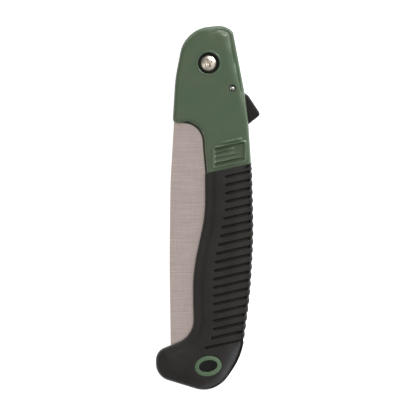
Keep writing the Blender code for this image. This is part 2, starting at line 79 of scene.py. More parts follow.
HEAD_OUTLINE = [
    (-22.7, -37.5, 2.6),
    (-21.0, -9.5, 90.0),
    (-15.0, 21.6, 20.0),
    (9.1, 23.9, 12.0),
    (15.3, 20.3, 5.0),
    (20.3, -6.0, 150.0),
    (22.5, -17.5, 60.0),
    (25.3, -40.0, 120.0),
    (28.2, -84.0, 0.0),
    (-0.7, -84.0, 0.0),
    (-3.4, -55.0, 60.0),
    (-4.5, -38.0, 12.0),
]
GRIP_OUTLINE = [
    (-2.4, -50.0, 0.0),
    (26.9, -50.0, 0.0),
    (27.6, -74.0, 200.0),
    (28.5, -108.0, 350.0),
    (26.3, -145.0, 300.0),
    (20.9, -184.3, 44.0),
    (9.5, -201.0, 20.0),
    (-1.4, -206.8, 17.0),
    (-33.2, -197.1, 11.0),
    (-33.2, -181.3, 8.0),
    (-9.3, -171.7, 15.0),
    (-9.8, -150.0, 200.0),
    (-9.9, -131.5, 110.0),
    (-2.2, -95.5, 90.0),
]


# ---------------------------------------------------------------- plan shapes


def rounded(corners, arc_step=math.radians(4), longest=1.2):
    """Points round the outline, anticlockwise, with each corner turned into an arc and long sides divided."""
    places = [Vector(corner[:2]) for corner in corners]
    count = len(places)
    turns = []
    for i, corner in enumerate(places):
        turns.append(math.pi - (places[i - 1] - corner).angle(places[(i + 1) % count] - corner))
    tangents = [corner[2] * math.tan(turn / 2) for corner, turn in zip(corners, turns, strict=True)]
    fits = [1.0] * count
    for i in range(count):
        j = (i + 1) % count
        room = 0.98 * (places[j] - places[i]).length / max(tangents[i] + tangents[j], 1e-9)
        fits[i], fits[j] = min(fits[i], room), min(fits[j], room)
    points = []
    for i, corner in enumerate(places):
        radius = corners[i][2] * fits[i]
        if radius == 0:
            points.append(corner)
            continue
        before = (places[i - 1] - corner).normalized()
        after = (places[(i + 1) % count] - corner).normalized()
        start = corner + before * tangents[i] * fits[i]
        centre = corner + (before + after).normalized() * radius / math.cos(turns[i] / 2)
        side = -math.copysign(1, before.cross(after))
        steps = max(math.ceil(turns[i] / arc_step), math.ceil(turns[i] * radius / longest), 1)
        for k in range(steps + 1):
            points.append(centre + turned(start - centre, side * turns[i] * k / steps))
    divided = []
    for a, b in zip(points, points[1:] + points[:1], strict=True):
        if (b - a).length > 0.02:
            pieces = max(math.ceil((b - a).length / longest), 1)
            divided += [a.lerp(b, k / pieces) for k in range(pieces)]
    plan = np.array(divided)
    return plan if signed_area(plan) > 0 else plan[::-1]


def turned(point, angle):
    c, s = math.cos(angle), math.sin(angle)
    return Vector((point[0] * c - point[1] * s, point[0] * s + point[1] * c))


def signed_area(plan):
    after = np.roll(plan, -1, axis=0)
    return float(np.sum(plan[:, 0] * after[:, 1] - plan[:, 1] * after[:, 0])) / 2


def to_slanted(points):
    """(x, y) points as (p, q)."""
    c, s = math.cos(TILT), math.sin(TILT)
    return np.stack([points[..., 0] * c + points[..., 1] * s, points[..., 1] * c - points[..., 0] * s], -1)


def from_slanted(points):
    c, s = math.cos(TILT), math.sin(TILT)
    return np.stack([points[..., 0] * c - points[..., 1] * s, points[..., 0] * s + points[..., 1] * c], -1)


def inset(plan, distance):
    """The outline moved inwards by a distance."""
    before = plan - np.roll(plan, 1, axis=0)
    after = np.roll(plan, -1, axis=0) - plan
    normals = []
    for run in (before, after):
        run = run / np.linalg.norm(run, axis=1)[:, None]
        normals.append(np.stack([-run[:, 1], run[:, 0]], -1))
    inward = normals[0] + normals[1]
    inward /= np.linalg.norm(inward, axis=1)[:, None]
    stretch = 1 / np.maximum(np.sum(inward * normals[1], axis=1), 0.5)
    return plan + inward * (distance * stretch)[:, None] if np.ndim(stretch) else plan


def circle(radius, count=64, centre=(0.0, 0.0), start=0.0):
    angles = start + 2 * np.pi * np.arange(count) / count
    return np.stack([centre[0] + radius * np.cos(angles), centre[1] + radius * np.sin(angles)], -1)


def eye_ellipse(radii, grow=0.0, count=96):
    angles = 2 * np.pi * np.arange(count) / count
    x, y = (radii[0] + grow) * np.cos(angles), (radii[1] + grow) * np.sin(angles)
    c, s = math.cos(EYE_LEAN), math.sin(EYE_LEAN)
    return np.stack([EYE[0] + x * c - y * s, EYE[1] + x * s + y * c], -1)


def nearest(outline, points):
    """Distance of each point to the outline, and the place on it that is nearest."""
    best = np.full(len(points), np.inf)
    foot = np.zeros((len(points), 2))
    for start, run in zip(outline, np.roll(outline, -1, axis=0) - outline, strict=True):
        share = np.clip(((points - start) @ run) / (run @ run), 0, 1)
        place = start + share[:, None] * run
        distance = np.linalg.norm(points - place, axis=1)
        closer = distance < best
        best[closer] = distance[closer]
        foot[closer] = place[closer]
    return best, foot


def smooth_step(value, low, high):
    t = np.clip((value - low) / (high - low), 0.0, 1.0)
    return t * t * (3 - 2 * t)


def quarter_round(depth, radius):
    """How far a face has dropped at a distance depth from its edge, where the edge is rounded by radius."""
    t = np.clip(depth / radius, 0.0, 1.0)
    return radius * (1 - np.sqrt(1 - (1 - t) ** 2))


# ---------------------------------------------------------------- meshes


def to_frame(points):
    """Millimetres about the pivot as metres in the row frame."""
    return (np.asarray(points, float) + np.array(PIVOT)) * MM


def make_piece(name, points, faces, smooth_angle=35):
    mesh = bpy.data.meshes.new(name)
    mesh.from_pydata(to_frame(points).tolist(), [], faces)
    mesh.validate()
    bm = bmesh.new()
    bm.from_mesh(mesh)
    bmesh.ops.recalc_face_normals(bm, faces=bm.faces)
    bm.to_mesh(mesh)
    bm.free()
    made = bpy.data.objects.new(name, mesh)
    bpy.context.scene.collection.objects.link(made)
    shade(made, smooth_angle)
    return made


def shade(piece, angle=35):
    for polygon in piece.data.polygons:
        polygon.use_smooth = True
    piece.data.set_sharp_from_angle(angle=math.radians(angle))


def tube_faces(rows, columns, closed=True):
    """Quads between successive loops, with the first and the last loop capped."""
    faces = []
    for i in range(rows - 1):
        for j in range(columns):
            k = (j + 1) % columns
            faces.append((i * columns + j, i * columns + k, (i + 1) * columns + k, (i + 1) * columns + j))
    if closed:
        faces.append(tuple(range(columns))[::-1])
        faces.append(tuple(range((rows - 1) * columns, rows * columns)))
    return faces


def stack(name, rings, smooth_angle=35):
    """A solid from plan outlines with the same number of points, each (outline, height), from the bottom up."""
    points = [np.column_stack([plan, np.full(len(plan), height)]) for plan, height in rings]
    return make_piece(name, np.concatenate(points), tube_faces(len(rings), len(rings[0][0])), smooth_angle)


def lathe(name, profile, count=64, centre=(0.0, 0.0), smooth_angle=35):
    """A profile of (radius, height) turned about a vertical axis. A closed ring if its ends have a radius."""
    solid = profile[0][0] == 0
    inner = profile[1:-1] if solid else profile
    points, faces = [], []
    for radius, height in inner:
        points.append(np.column_stack([circle(radius, count, centre), np.full(count, height)]))
    points = np.concatenate(points)
    faces = tube_faces(len(inner), count, closed=False)
    if solid:
        low, high = len(points), len(points) + 1
        points = np.vstack([points, [*centre, profile[0][1]], [*centre, profile[-1][1]]])
        last = (len(inner) - 1) * count
        for j in range(count):
            k = (j + 1) % count
            faces.append((low, k, j))
            faces.append((high, last + j, last + k))
    else:
        last = (len(inner) - 1) * count
        for j in range(count):
            k = (j + 1) % count
            faces.append((last + j, last + k, k, j))
    return make_piece(name, points, faces, smooth_angle)


def combine(target, others, operation, smooth_angle=35):
    """Booleans of target with each of the others, which are then removed."""
    for other in others:
        modifier = target.modifiers.new("cut", "BOOLEAN")
        modifier.operation = operation
        modifier.solver = "EXACT"
        modifier.object = other
    bpy.context.view_layer.update()
    graph = bpy.context.evaluated_depsgraph_get()
    mesh = bpy.data.meshes.new_from_object(target.evaluated_get(graph))
    target.modifiers.clear()
    target.data = mesh
    for other in others:
        bpy.data.objects.remove(other)
    shade(target, smooth_angle)
    return target


def cut(target, *others, smooth_angle=35):
    return combine(target, others, "DIFFERENCE", smooth_angle)


def join(target, *others, smooth_angle=35):
    return combine(target, others, "UNION", smooth_angle)


# ---------------------------------------------------------------- the handle's slab


def crossings(flat, q):
    """Lowest and highest p of the slanted outline on the line at q."""
    after = np.roll(flat, -1, axis=0)
    hit = (flat[:, 1] - q) * (after[:, 1] - q) <= 0
    hit &= flat[:, 1] != after[:, 1]
    a, b = flat[hit], after[hit]
    p = a[:, 0] + (b[:, 0] - a[:, 0]) * (q - a[:, 1]) / (b[:, 1] - a[:, 1])
    return p.min(), p.max()


def slab(name, outline, rows, edges, face, columns=90, edge_steps=12, wall_steps=8, carve=None):
    """A slab as a lattice: one loop round the section at each q of rows.

    edges is how wide the roundings at the front and the back are. face(points, distance, foot) gives the height
    of the face over a plan point. carve(lattice, distance) gives how far each point of the finished lattice is
    pressed in along its normal.
    """
    flat = to_slanted(outline)
    share = 1 - np.cos(np.linspace(0, np.pi / 2, edge_steps + 1))
    plan = []
    for q in rows:
        low, high = crossings(flat, q)
        front, back = (min(edge, 0.45 * (high - low)) for edge in edges)
        middle = np.linspace(low + front, high - back, columns + 1)[1:-1]
        p = np.concatenate([low + front * share, middle, high - back * share[::-1]])
        plan.append(np.column_stack([p, np.full(len(p), q)]))
    plan = from_slanted(np.array(plan))
    count = plan.shape[1]
    distance, foot = nearest(outline, plan.reshape(-1, 2))
    height = face(plan.reshape(-1, 2), distance, foot).reshape(len(rows), count)
    distance = distance.reshape(len(rows), count)

    top = np.concatenate([plan, height[:, :, None]], axis=2)
    bottom = np.concatenate([plan, -height[:, :, None]], axis=2)[:, ::-1]
    drop = np.linspace(1, -1, wall_steps + 2)[1:-1]
    back = np.repeat(top[:, -1:], wall_steps, axis=1)
    back[:, :, 2] *= drop[None, :]
    front = np.repeat(top[:, :1], wall_steps, axis=1)
    front[:, :, 2] *= -drop[None, :]
    lattice = np.concatenate([top, back, bottom, front], axis=1)
    reach = np.concatenate(
        [distance, np.zeros_like(back[:, :, 0]), distance[:, ::-1], np.zeros_like(front[:, :, 0])], axis=1
    )
    loop = lattice.shape[1]
    faces = tube_faces(len(rows), loop)
    if carve:
        base = make_piece(f"{name}_base", lattice.reshape(-1, 3), faces)
        normals = np.empty(len(base.data.vertices) * 3, np.float32)
        base.data.vertex_normals.foreach_get("vector", normals)
        bpy.data.objects.remove(base)
        normals = normals.reshape(lattice.shape)
        lattice = lattice - normals * carve(lattice, reach)[:, :, None]
    return make_piece(name, lattice.reshape(-1, 3), faces)


def row_places(low, high, step, fine_low=False, fine_high=False):
    """q of each row, closer together towards an end where the outline closes or an edge is rounded."""
    places = list(np.arange(low, high, step)) + [high]
    tight = np.array([0.01, 0.05, 0.12, 0.22, 0.35, 0.5, 0.7, 0.95, 1.25, 1.6])
    if fine_low:
        places = [q for q in places if q > low + tight[-1] + 0.1] + list(low + tight)
    if fine_high:
        places = [q for q in places if q < high - tight[-1] - 0.1] + list(high - tight)
    return np.array(sorted(places))


# ---------------------------------------------------------------- the grip


def grip_edge(foot):
    """Rounding of the grip's edge: tight along both sides and large round the hook."""
    return 3.2 + 2.8 * smooth_step(-foot[:, 1], 172.0, 186.0)


def grip_face(points, distance, foot):
    """The face with its rounded edge, and with the plain strip along the front sloping away a little."""
    front = 1 - smooth_step(foot[:, 0] + 0.3 * (foot[:, 1] + 170.0) * (foot[:, 1] < -170.0), 2.0, 14.0)
    strip = front * (0.75 * (1 - smooth_step(distance, 4.3, 7.6)) + 0.25 * (1 - smooth_step(distance, 6.0, 12.0)))
    crown = (0.3 + 0.9 * (1 - front)) * (1 - smooth_step(distance, 1.0, 13.0))
    heel = smooth_step(-foot[:, 1], 168.0, 182.0) * smooth_step(foot[:, 0], -8.0, 2.0)
    crown += 1.8 * heel * (1 - smooth_step(distance, 0.0, 9.5))
    fall = np.maximum(strip, crown) * smooth_step(distance, 0.0, 3.0 - 2.0 * heel)
    return GRIP_HALF - quarter_round(distance, grip_edge(foot)) - fall


def groove_depth(flat_outline, p, q, distance):
    """Depth of the grip's grooves at each slanted point: flat-floored on the faces, soft scallops at the back."""
    depth = np.zeros_like(p)
    on_face = smooth_step(distance, 1.8, 2.7)
    for k in range(-1, GROOVE_COUNT):
        centre = FIRST_GROOVE - GROOVE_PITCH * k if k >= 0 else SHORT_GROOVE
        front, back = crossings(flat_outline, centre)
        if k == -1:
            start = back - 4.4
        elif k < GROOVE_COUNT - len(LAST_STARTS):
            start = front + SMOOTH_BAND
        else:
            start = LAST_STARTS[k - GROOVE_COUNT]
        past = np.maximum(start + 0.9 - p, 0.0)
        across = np.hypot(q - centre, past)
        wide = 1.0 if 0 <= k < GROOVE_COUNT - 1 else 0.75
        near = np.abs(q - centre) < 3.0
        channel = GROOVE_DEPTH * wide * (1 - smooth_step(across, 0.7 * wide, 1.04 * wide))
        scallop = SCALLOP_DEPTH * (1 - smooth_step(across, 0.0, 2.1))
        both = on_face * channel + (1 - on_face) * scallop
        depth = np.where(near, np.maximum(depth, both), depth)
    return depth


def build_grip(rubber):
    outline = rounded(GRIP_OUTLINE)
    flat = to_slanted(outline)
    lowest = flat[:, 1].min()
    top = BORDER - 0.03
    grooved = FIRST_GROOVE - GROOVE_PITCH * (GROOVE_COUNT - 1) - 2.2
    places = list(row_places(lowest, grooved - 0.3, 0.45, fine_low=True))
    half = np.array([0.0, 0.35, 0.6, 0.72, 0.82, 0.92, 1.02, 1.16, 1.45, 1.85, 2.25])
    for k in range(GROOVE_COUNT):
        centre = FIRST_GROOVE - GROOVE_PITCH * k
        places += list(centre - half) + list(centre + half[1:])
    places += list(SHORT_GROOVE + np.array([-0.85, -0.75, -0.65, -0.5, -0.25, 0.0, 0.25]))
    rows = np.array(sorted(place for place in places if lowest < place < BORDER - 1.3))
    rows = rows[np.diff(rows, append=BORDER) > 0.04]
    rows = np.concatenate([rows, top - np.array([1.1, 0.95, 0.8, 0.65, 0.5, 0.35, 0.22, 0.12, 0.05, 0.0])])

    def carve(lattice, reach):
        at = to_slanted(lattice[:, :, :2])
        grooves = groove_depth(flat, at[:, :, 0], at[:, :, 1], reach)
        rim = quarter_round(top - at[:, :, 1], 0.4)
        return grooves + rim

    grip = slab("grip_overmould_fine", outline, rows, (4.8, 5.2), grip_face, columns=74, carve=carve)
    cut(grip, tongue("grip_hollow", 0.05), slot_cutter(), stack_flared("eye_room", EYE_COLLAR, 0.15))
    finish_piece(grip, rubber, "handle", "black_rubber", "grip_overmould")
    return grip


def stack_flared(name, radii, grow):
    """A cutter for the eye whose mouth opens a little at both faces."""
    rings = []
    for height, flare in ((-30, 0.5), (-11.2, 0.5), (-10.6, 0.0), (10.6, 0.0), (11.2, 0.5), (30, 0.5)):
        rings.append((eye_ellipse(radii, grow + flare), height))
    return stack(name, rings)


def tongue(name, grow):
    """The part of the core that the rubber covers, with its top end inside the head."""
    outline = inset(rounded(GRIP_OUTLINE, math.radians(8), 3.0), SKIN - grow)
    lowest = to_slanted(outline)[:, 1].min()

    def face(points, distance, foot):
        return GRIP_HALF - SKIN + grow - quarter_round(distance, 2.5)

    rows = row_places(lowest, BORDER + 5.0, 1.5, fine_low=True)
    return slab(name, outline, rows[rows > lowest], (3.0, 3.0), face, columns=12, edge_steps=6, wall_steps=2)


def slot_cutter():
    angles = np.radians(np.arange(-14.0, 3.1, 1.0)) - np.pi / 2
    end = np.stack([SLOT_END * np.cos(angles), SLOT_END * np.sin(angles)], -1)
    right = [(8.6, -184.0), (17.6, -60.0), (17.6, -42.0), (17.6, -17.0), (18.6, -12.0), (17.0, -3.0), (10.6, 30.0)]
    plan = np.vstack([[(-46.0, 30.0)], end, right])
    return stack("slot_room", [(plan, -SLOT_HALF), (plan, SLOT_HALF)])


# ---------------------------------------------------------------- the core


# How high the head's face has risen at each distance from its back edge: with a bead, a groove and a broad
# shoulder at the top end, and nearly square further down
BEADED_EDGE = [
    (0.0, 0.0),
    (0.1, 0.8),
    (0.4, 1.4),
    (0.9, 1.8),
    (1.5, 2.0),
    (2.1, 2.0),
    (2.6, 1.78),
    (2.9, 1.8),
    (3.05, 2.3),
    (3.2, 3.1),
    (3.4, 3.38),
    (4.4, 3.7),
    (5.4, 3.92),
    (6.4, 4.04),
    (7.5, 4.1),
]
CORNER_EDGE = [
    (0.0, 0.0),
    (0.1, 0.8),
    (0.4, 1.5),
    (0.9, 1.85),
    (1.5, 2.0),
    (2.1, 2.0),
    (2.6, 1.9),
    (2.9, 2.0),
    (3.1, 2.3),
    (3.4, 2.75),
    (3.8, 3.05),
    (4.4, 3.35),
    (5.0, 3.62),
    (5.6, 3.84),
    (6.2, 3.98),
    (7.0, 4.06),
    (8.0, 4.1),
]
PLAIN_EDGE = [
    (0.0, 0.0),
    (0.1, 1.2),
    (0.3, 2.2),
    (0.6, 3.0),
    (1.0, 3.5),
    (1.5, 3.8),
    (2.2, 3.96),
    (3.5, 4.05),
    (5.0, 4.1),
]


def head_face(points, distance, foot):
    x, y = foot[:, 0], foot[:, 1]
    front = 2.4 - 0.8 * smooth_step(x, -14.0, -5.0) + 2.2 * smooth_step(y, 6.0, 20.0)
    front = front * (1 - 0.4 * smooth_step(x, -2.0, 8.0))
    cut_away = smooth_step(x, -19.0, -11.0) * smooth_step(-y, 20.0, 30.0)
    ledge = 5.5 * cut_away * (1 - smooth_step(distance, 1.2, 1.5))
    drop = ledge + quarter_round(np.maximum(distance - 1.3 * cut_away, 0.0), front)
    edges = (CORNER_EDGE, BEADED_EDGE, PLAIN_EDGE)
    spread = distance * (0.65 + 0.35 * smooth_step(x, 0.0, 10.0)) * (1 + 0.5 * smooth_step(-y, -6.0, 30.0))
    corner, beaded, plain = [edge[-1][1] - np.interp(spread, *np.transpose(edge)) for edge in edges]
    up = smooth_step(y, 6.0, 15.0)
    beaded = (1 - up) * beaded + up * corner
    down = smooth_step(-y, 4.0, 34.0)
    back = smooth_step(x, -2.0, 12.0)
    drop = (1 - back) * drop + back * ((1 - down) * beaded + down * plain)
    return HEAD_HALF - drop + panel_relief(points[:, 0], to_slanted(points)[:, 1])


PANEL = {"left": 3.0, "right": 22.8, "top": -52.8, "bottom": -64.9}
PANEL_CORNER = 1.5
RIBS = ((-55.9, 1.2), (-59.0, 0.85), (-62.1, 0.85))


def panel_relief(x, q):
    """Height of the thumb panel's relief: a sunk field inside a raised rim, three ribs and a brow above it."""
    over = np.maximum(PANEL["left"] - x, x - PANEL["right"]), np.maximum(PANEL["bottom"] - q, q - PANEL["top"])
    over = np.stack(over, -1) + PANEL_CORNER
    outside = np.linalg.norm(np.maximum(over, 0), axis=-1) + np.minimum(over.max(-1), 0) - PANEL_CORNER
    relief = 0.75 * np.exp(-(((outside - 0.1) / 0.55) ** 2))
    deep = 1 - 0.5 * smooth_step(x, 15.0, 22.0)
    sunk = smooth_step(-outside, 0.1, 1.5)
    relief -= 1.1 * deep * sunk
    fade = 1 - smooth_step(x + 0.63 * (q - RIBS[0][0]), 12.0, 18.0)
    for place, height in RIBS:
        rib = smooth_step(q, place - 0.5, place) - np.clip((q - place) / 1.5, 0.0, 1.0)
        relief += height * sunk * fade * rib
    relief -= 0.4 * sunk * (1 - smooth_step(q, PANEL["bottom"] + 1.4, PANEL["bottom"] + 2.4))
    relief -= 0.8 * sunk * smooth_step(q, PANEL["top"] - 1.5, PANEL["top"] - 0.8)
    brow_ends = smooth_step(x, 3.0, 16.0) * (1 - smooth_step(x, 19.0, 21.5))
    brow = smooth_step(q, -52.0, -51.0) * (1 - smooth_step(q, -50.9, -49.8))
    return relief + 1.0 * brow * brow_ends


def lever_room():
    corners = [
        (10.7, -11.2, 3.0),
        (16.6, -10.4, 3.0),
        (22.0, -16.4, 1.0),
        (40.0, -16.4, 0.0),
        (40.0, -40.4, 0.0),
        (14.8, -40.4, 2.0),
        (13.6, -27.0, 4.0),
        (10.7, -19.5, 3.0),
    ]
    plan = rounded(corners, math.radians(8), 4.0)
    return stack("lever_room", [(plan, -4.3), (plan, 4.3)])


def build_core(green, collar_painted_light_green):
    outline = rounded(HEAD_OUTLINE)
    highest = to_slanted(outline)[:, 1].max()
    rows = row_places(BORDER, highest, 0.32, fine_high=True)
    panel_rows = np.arange(PANEL["bottom"] - 1.6, PANEL["top"] + 3.4, 0.15)
    rows = rows[(rows < highest) & ((rows < panel_rows[0]) | (rows > panel_rows[-1]))]
    rows = np.sort(np.concatenate([rows, panel_rows + 0.01]))
    core = slab("handle_core_fine", outline, rows, (5.0, 7.5), head_face, columns=100)
    collar_half = GRIP_HALF - 0.15
    collar_rings = []
    for grow, height in ((-0.6, 0.0), (-0.25, 0.12), (0.0, 0.5)):
        collar_rings.append((eye_ellipse(EYE_COLLAR, grow), height - collar_half))
    for grow, height in ((0.0, 0.5), (-0.25, 0.12), (-0.6, 0.0)):
        collar_rings.append((eye_ellipse(EYE_COLLAR, grow), collar_half - height))
    collar = stack("collar", collar_rings)
    lip = [(6.5, 9.2), (8.1, 9.2), (8.1, 10.1), (7.85, 10.3), (7.45, 10.4), (7.05, 10.3), (6.8, 10.05), (6.5, 9.6)]
    join(core, tongue("core_tongue", 0.0), collar, lathe("counterbore_lip", lip, 96))
    flares = [(0.8, 0.0), (0.25, 0.12), (-0.1, 0.4), (-12.0, 0.4)]
    mouth = [(eye_ellipse(EYE_HOLE, flare), depth - collar_half) for depth, flare in flares[::-1]]
    mouth += [(eye_ellipse(EYE_HOLE, flare), collar_half - depth) for depth, flare in flares]
    hexagon = circle(8.8 / math.sqrt(3), 6, start=math.radians(30))
    bore_top = [(0, 4.4), (6.75, 4.4), (6.75, 14), (0, 14)]
    pin_mouth = [(0, -14), (2.2, -14), (2.2, -7.6), (1.4, -7.6), (1.4, 7.6), (2.2, 7.6), (2.2, 14), (0, 14)]
    cut(
        core,
        slot_cutter(),
        lever_room(),
        stack("eye_mouth", mouth),
        lathe("screw_room", [(0, -20), (2.8, -20), (2.8, 20), (0, 20)], 32),
        lathe("counterbore", bore_top, 96),
        stack("nut_room", [(hexagon, -20), (hexagon, -4.4)]),
        lathe("pin_room", pin_mouth, 40, (PIN.x, PIN.y)),
    )
    finish_piece(core, green, "handle", "green_plastic", "handle_core")
    # The collar's faces take a lighter copy of the core's green. The collar is the same plastic, so the brighter
    # green is painted light.
    core.data.materials.append(collar_painted_light_green)
    for polygon in core.data.polygons:
        at = np.array(polygon.center) / MM - np.array(PIVOT)
        if abs(at[2]) > GRIP_HALF - 1.2 and at[1] < -150:
            polygon.material_index = 1
    return core


# ---------------------------------------------------------------- the blade


BLADE_HALF = 0.7
BROKEN_EDGE = 0.1
BLADE_HOLE = 4.3
TANG_R = 12.0
NOTCHES = np.radians([-10.0, 160.0])
NOTCH_HALF = math.radians(6)
NOTCH_DEPTH = 1.5
TOOTH_HEEL = Vector((14.0, -44.5))
TOOTH_TOE = Vector((-3.2, -189.5))
TOOTH_COUNT = 35
TOOTH_HEIGHT = 3.4
SPINE = [
    (-12.2, -3.0, 3.0),
    (-13.4, -21.8, 2.0),
    (-21.6, -28.4, 3.0),
    (-22.1, -39.5, 20.0),
    (-24.2, -76.0, 250.0),
    (-24.7, -125.0, 900.0),
    (-23.9, -184.2, 8.0),
    (-10.0, -188.6, 30.0),
]


def tang_points():
    """The round heel with a lock notch for the open blade and one for the folded blade."""
    points = []
    for angle in np.radians(np.arange(-36.0, 181.0, 2.0)):
        if np.abs(angle - NOTCHES).min() > NOTCH_HALF + math.radians(1.2):
            points.append((angle, TANG_R))
    for notch in NOTCHES:
        for side in (-1, 1):
            points.append((notch + side * (NOTCH_HALF + math.radians(1)), TANG_R - 0.1))
            points.append((notch + side * NOTCH_HALF, TANG_R - NOTCH_DEPTH))
    return [turned((radius, 0.0), angle) for angle, radius in sorted(points)]


def tooth_corners():
    """Root, tip and root of each tooth, from the toe up to the heel."""
    along = (TOOTH_HEEL - TOOTH_TOE) / TOOTH_COUNT
    inward = turned(along.normalized(), math.pi / 2) * TOOTH_HEIGHT
    corners = []
    for k in range(TOOTH_COUNT):
        start = TOOTH_TOE + along * k
        corners.append((start + along * 0.08 + inward, start + along * 0.62, start + along * 0.92 + inward))
    return corners


def grinding(name, teeth, flank):
    """Cutters that grind one flank of each of these teeth to a slope, on alternate faces of the blade."""
    points, faces = [], []
    for k, (low, tip, high) in teeth:
        side = 1 if k % 2 else -1
        root = (low, high)[flank]
        run = (tip - root).normalized()
        inward = turned(run, math.pi / 2)
        if inward.dot((high if flank == 0 else low) - tip) < 0:
            inward = -inward
        for end in (root - run * 0.1, tip + run * 0.8):
            for depth, height in ((-0.3, -0.86), (1.0, 0.9), (-0.3, 0.9)):
                at = end + inward * depth
                points.append((at.x, at.y, side * height))
        i = len(points) - 6
        faces += [(i, i + 1, i + 2), (i + 3, i + 5, i + 4)]
        for a, b in ((0, 1), (1, 2), (2, 0)):
            faces.append((i + a, i + a + 3, i + b + 3, i + b))
    return make_piece(name, np.array(points), faces)


def build_blade(steel):
    """The blade with a broken edge all round its spine and alternately ground teeth."""
    start, end = (0.1 - TANG_R, 0.5), (TOOTH_TOE.x - 1.2, TOOTH_TOE.y + 0.1)
    spine = rounded([(*start, 0.0), *SPINE, (*end, 0.0)], longest=3.0)
    first = int(np.argmin(np.linalg.norm(spine - np.array(start), axis=1)))
    spine = np.roll(spine, -first, axis=0)
    last = int(np.argmin(np.linalg.norm(spine - np.array(end), axis=1)))
    teeth = tooth_corners()
    front = [corner for tooth in teeth for corner in tooth] + [Vector(at) for at in BLADE_HEEL]
    tang = tang_points()
    plan = np.array([tuple(point) for point in [*tang, *map(Vector, spine[: last + 1]), *front]])
    broken = np.full(len(plan), BROKEN_EDGE)
    broken[len(tang) + last - 1 :] = 0.0
    small = inset(plan, broken)
    straight = BLADE_HALF - BROKEN_EDGE
    rings = [(small, -BLADE_HALF), (plan, -straight), (plan, straight), (small, BLADE_HALF)]
    blade = stack("blade_fine", rings, 20)
    numbered = list(enumerate(teeth))
    cutters = []
    for parity in (0, 1):
        for flank in (0, 1):
            cutters.append(grinding(f"grinding_{parity}_{flank}", numbered[parity::2], flank))
    hole = [(0, -3), (4.7, -3), (4.7, -0.85), (BLADE_HOLE, -0.45), (BLADE_HOLE, 0.45), (4.7, 0.85), (4.7, 3), (0, 3)]
    cut(blade, *cutters, lathe("blade_hole", hole, 72), smooth_angle=20)
    finish_piece(blade, steel, "blade", "blade_steel", "blade")
    return blade


BLADE_HEEL = [(13.2, -42.0), (12.4, -34.0), (10.7, -20.0)]


# ---------------------------------------------------------------- materials


class Nodes:
    """Short calls for building one material's node tree."""

    def __init__(self, name, colour, roughness, metallic=0.0):
        self.material = bpy.data.materials.new(name)
        self.material.use_nodes = True
        self.tree = self.material.node_tree
        self.shader = self.tree.nodes["Principled BSDF"]
        self.shader.inputs["Base Color"].default_value = (*colour, 1.0)
        self.shader.inputs["Roughness"].default_value = roughness
        self.shader.inputs["Metallic"].default_value = metallic
        self.place = self.tree.nodes.new("ShaderNodeTexCoord").outputs["Object"]

    def node(self, kind, **inputs):
        made = self.tree.nodes.new(kind)
        for key, value in inputs.items():
            name = key.replace("_", " ")
            self.plug(made, int(key[1:]) if key[0] == "i" and key[1:].isdigit() else name, value)
        return made

    def plug(self, node, socket, value):
        if isinstance(value, bpy.types.NodeSocket):
            self.tree.links.new(value, node.inputs[socket])
        else:
            node.inputs[socket].default_value = value

    def scaled(self, scale, turn=0.0):
        return self.node("ShaderNodeMapping", Vector=self.place, Scale=scale, Rotation=(0, 0, turn)).outputs[0]

    def noise(self, scale, detail=3.0, roughness=0.5, vector=None):
        made = self.node("ShaderNodeTexNoise", Vector=vector or self.place, Scale=scale, Detail=detail)
        made.inputs["Roughness"].default_value = roughness
        return made.outputs["Fac"]

    def remap(self, value, low, high, to_low, to_high):
        made = self.node("ShaderNodeMapRange", Value=value)
        made.inputs["From Min"].default_value = low
        made.inputs["From Max"].default_value = high
        made.inputs["To Min"].default_value = to_low
        made.inputs["To Max"].default_value = to_high
        return made.outputs[0]

    def blend(self, factor, a, b):
        made = self.tree.nodes.new("ShaderNodeMix")
        made.data_type = "RGBA"
        self.plug(made, 0, factor)
        self.plug(made, 6, a if isinstance(a, bpy.types.NodeSocket) else (*a, 1.0))
        self.plug(made, 7, b if isinstance(b, bpy.types.NodeSocket) else (*b, 1.0))
        return made.outputs[2]

    def bump(self, height, strength, distance, normal=None):
        made = self.node("ShaderNodeBump", Height=height, Strength=strength, Distance=distance)
        if normal:
            self.tree.links.new(normal, made.inputs["Normal"])
        return made.outputs[0]

    def shine(self, level):
        self.shader.inputs["Specular IOR Level"].default_value = level

    def set(self, socket, value):
        self.plug(self.shader, socket, value)


def moulded(name, colour, light, roughness, grain=0.5, shine=0.4):
    """Textured moulded plastic: mottled colour, a fine spark-eroded grain and a few long handling scuffs."""
    n = Nodes(name, colour, roughness)
    n.shine(shine)
    cloud = n.noise(45.0, 4.0, 0.6)
    fine = n.noise(3200.0, 2.0, 0.6)
    scuff = n.noise(1.0, 5.0, 0.65, n.scaled((900.0, 70.0, 300.0), math.radians(31)))
    tone = n.blend(n.remap(cloud, 0.35, 0.7, 0.0, 1.0), colour, light)
    worn = n.remap(scuff, 0.68, 0.78, 0.0, 0.35)
    tone = n.blend(worn, tone, tuple(min(1.0, c * 1.6 + 0.02) for c in light))
    n.set("Base Color", tone)
    n.set("Roughness", n.remap(fine, 0.3, 0.7, roughness - 0.07, roughness + 0.1))
    n.set("Normal", n.bump(fine, grain, 0.00012, n.bump(cloud, 0.15, 0.0006)))
    return n.material


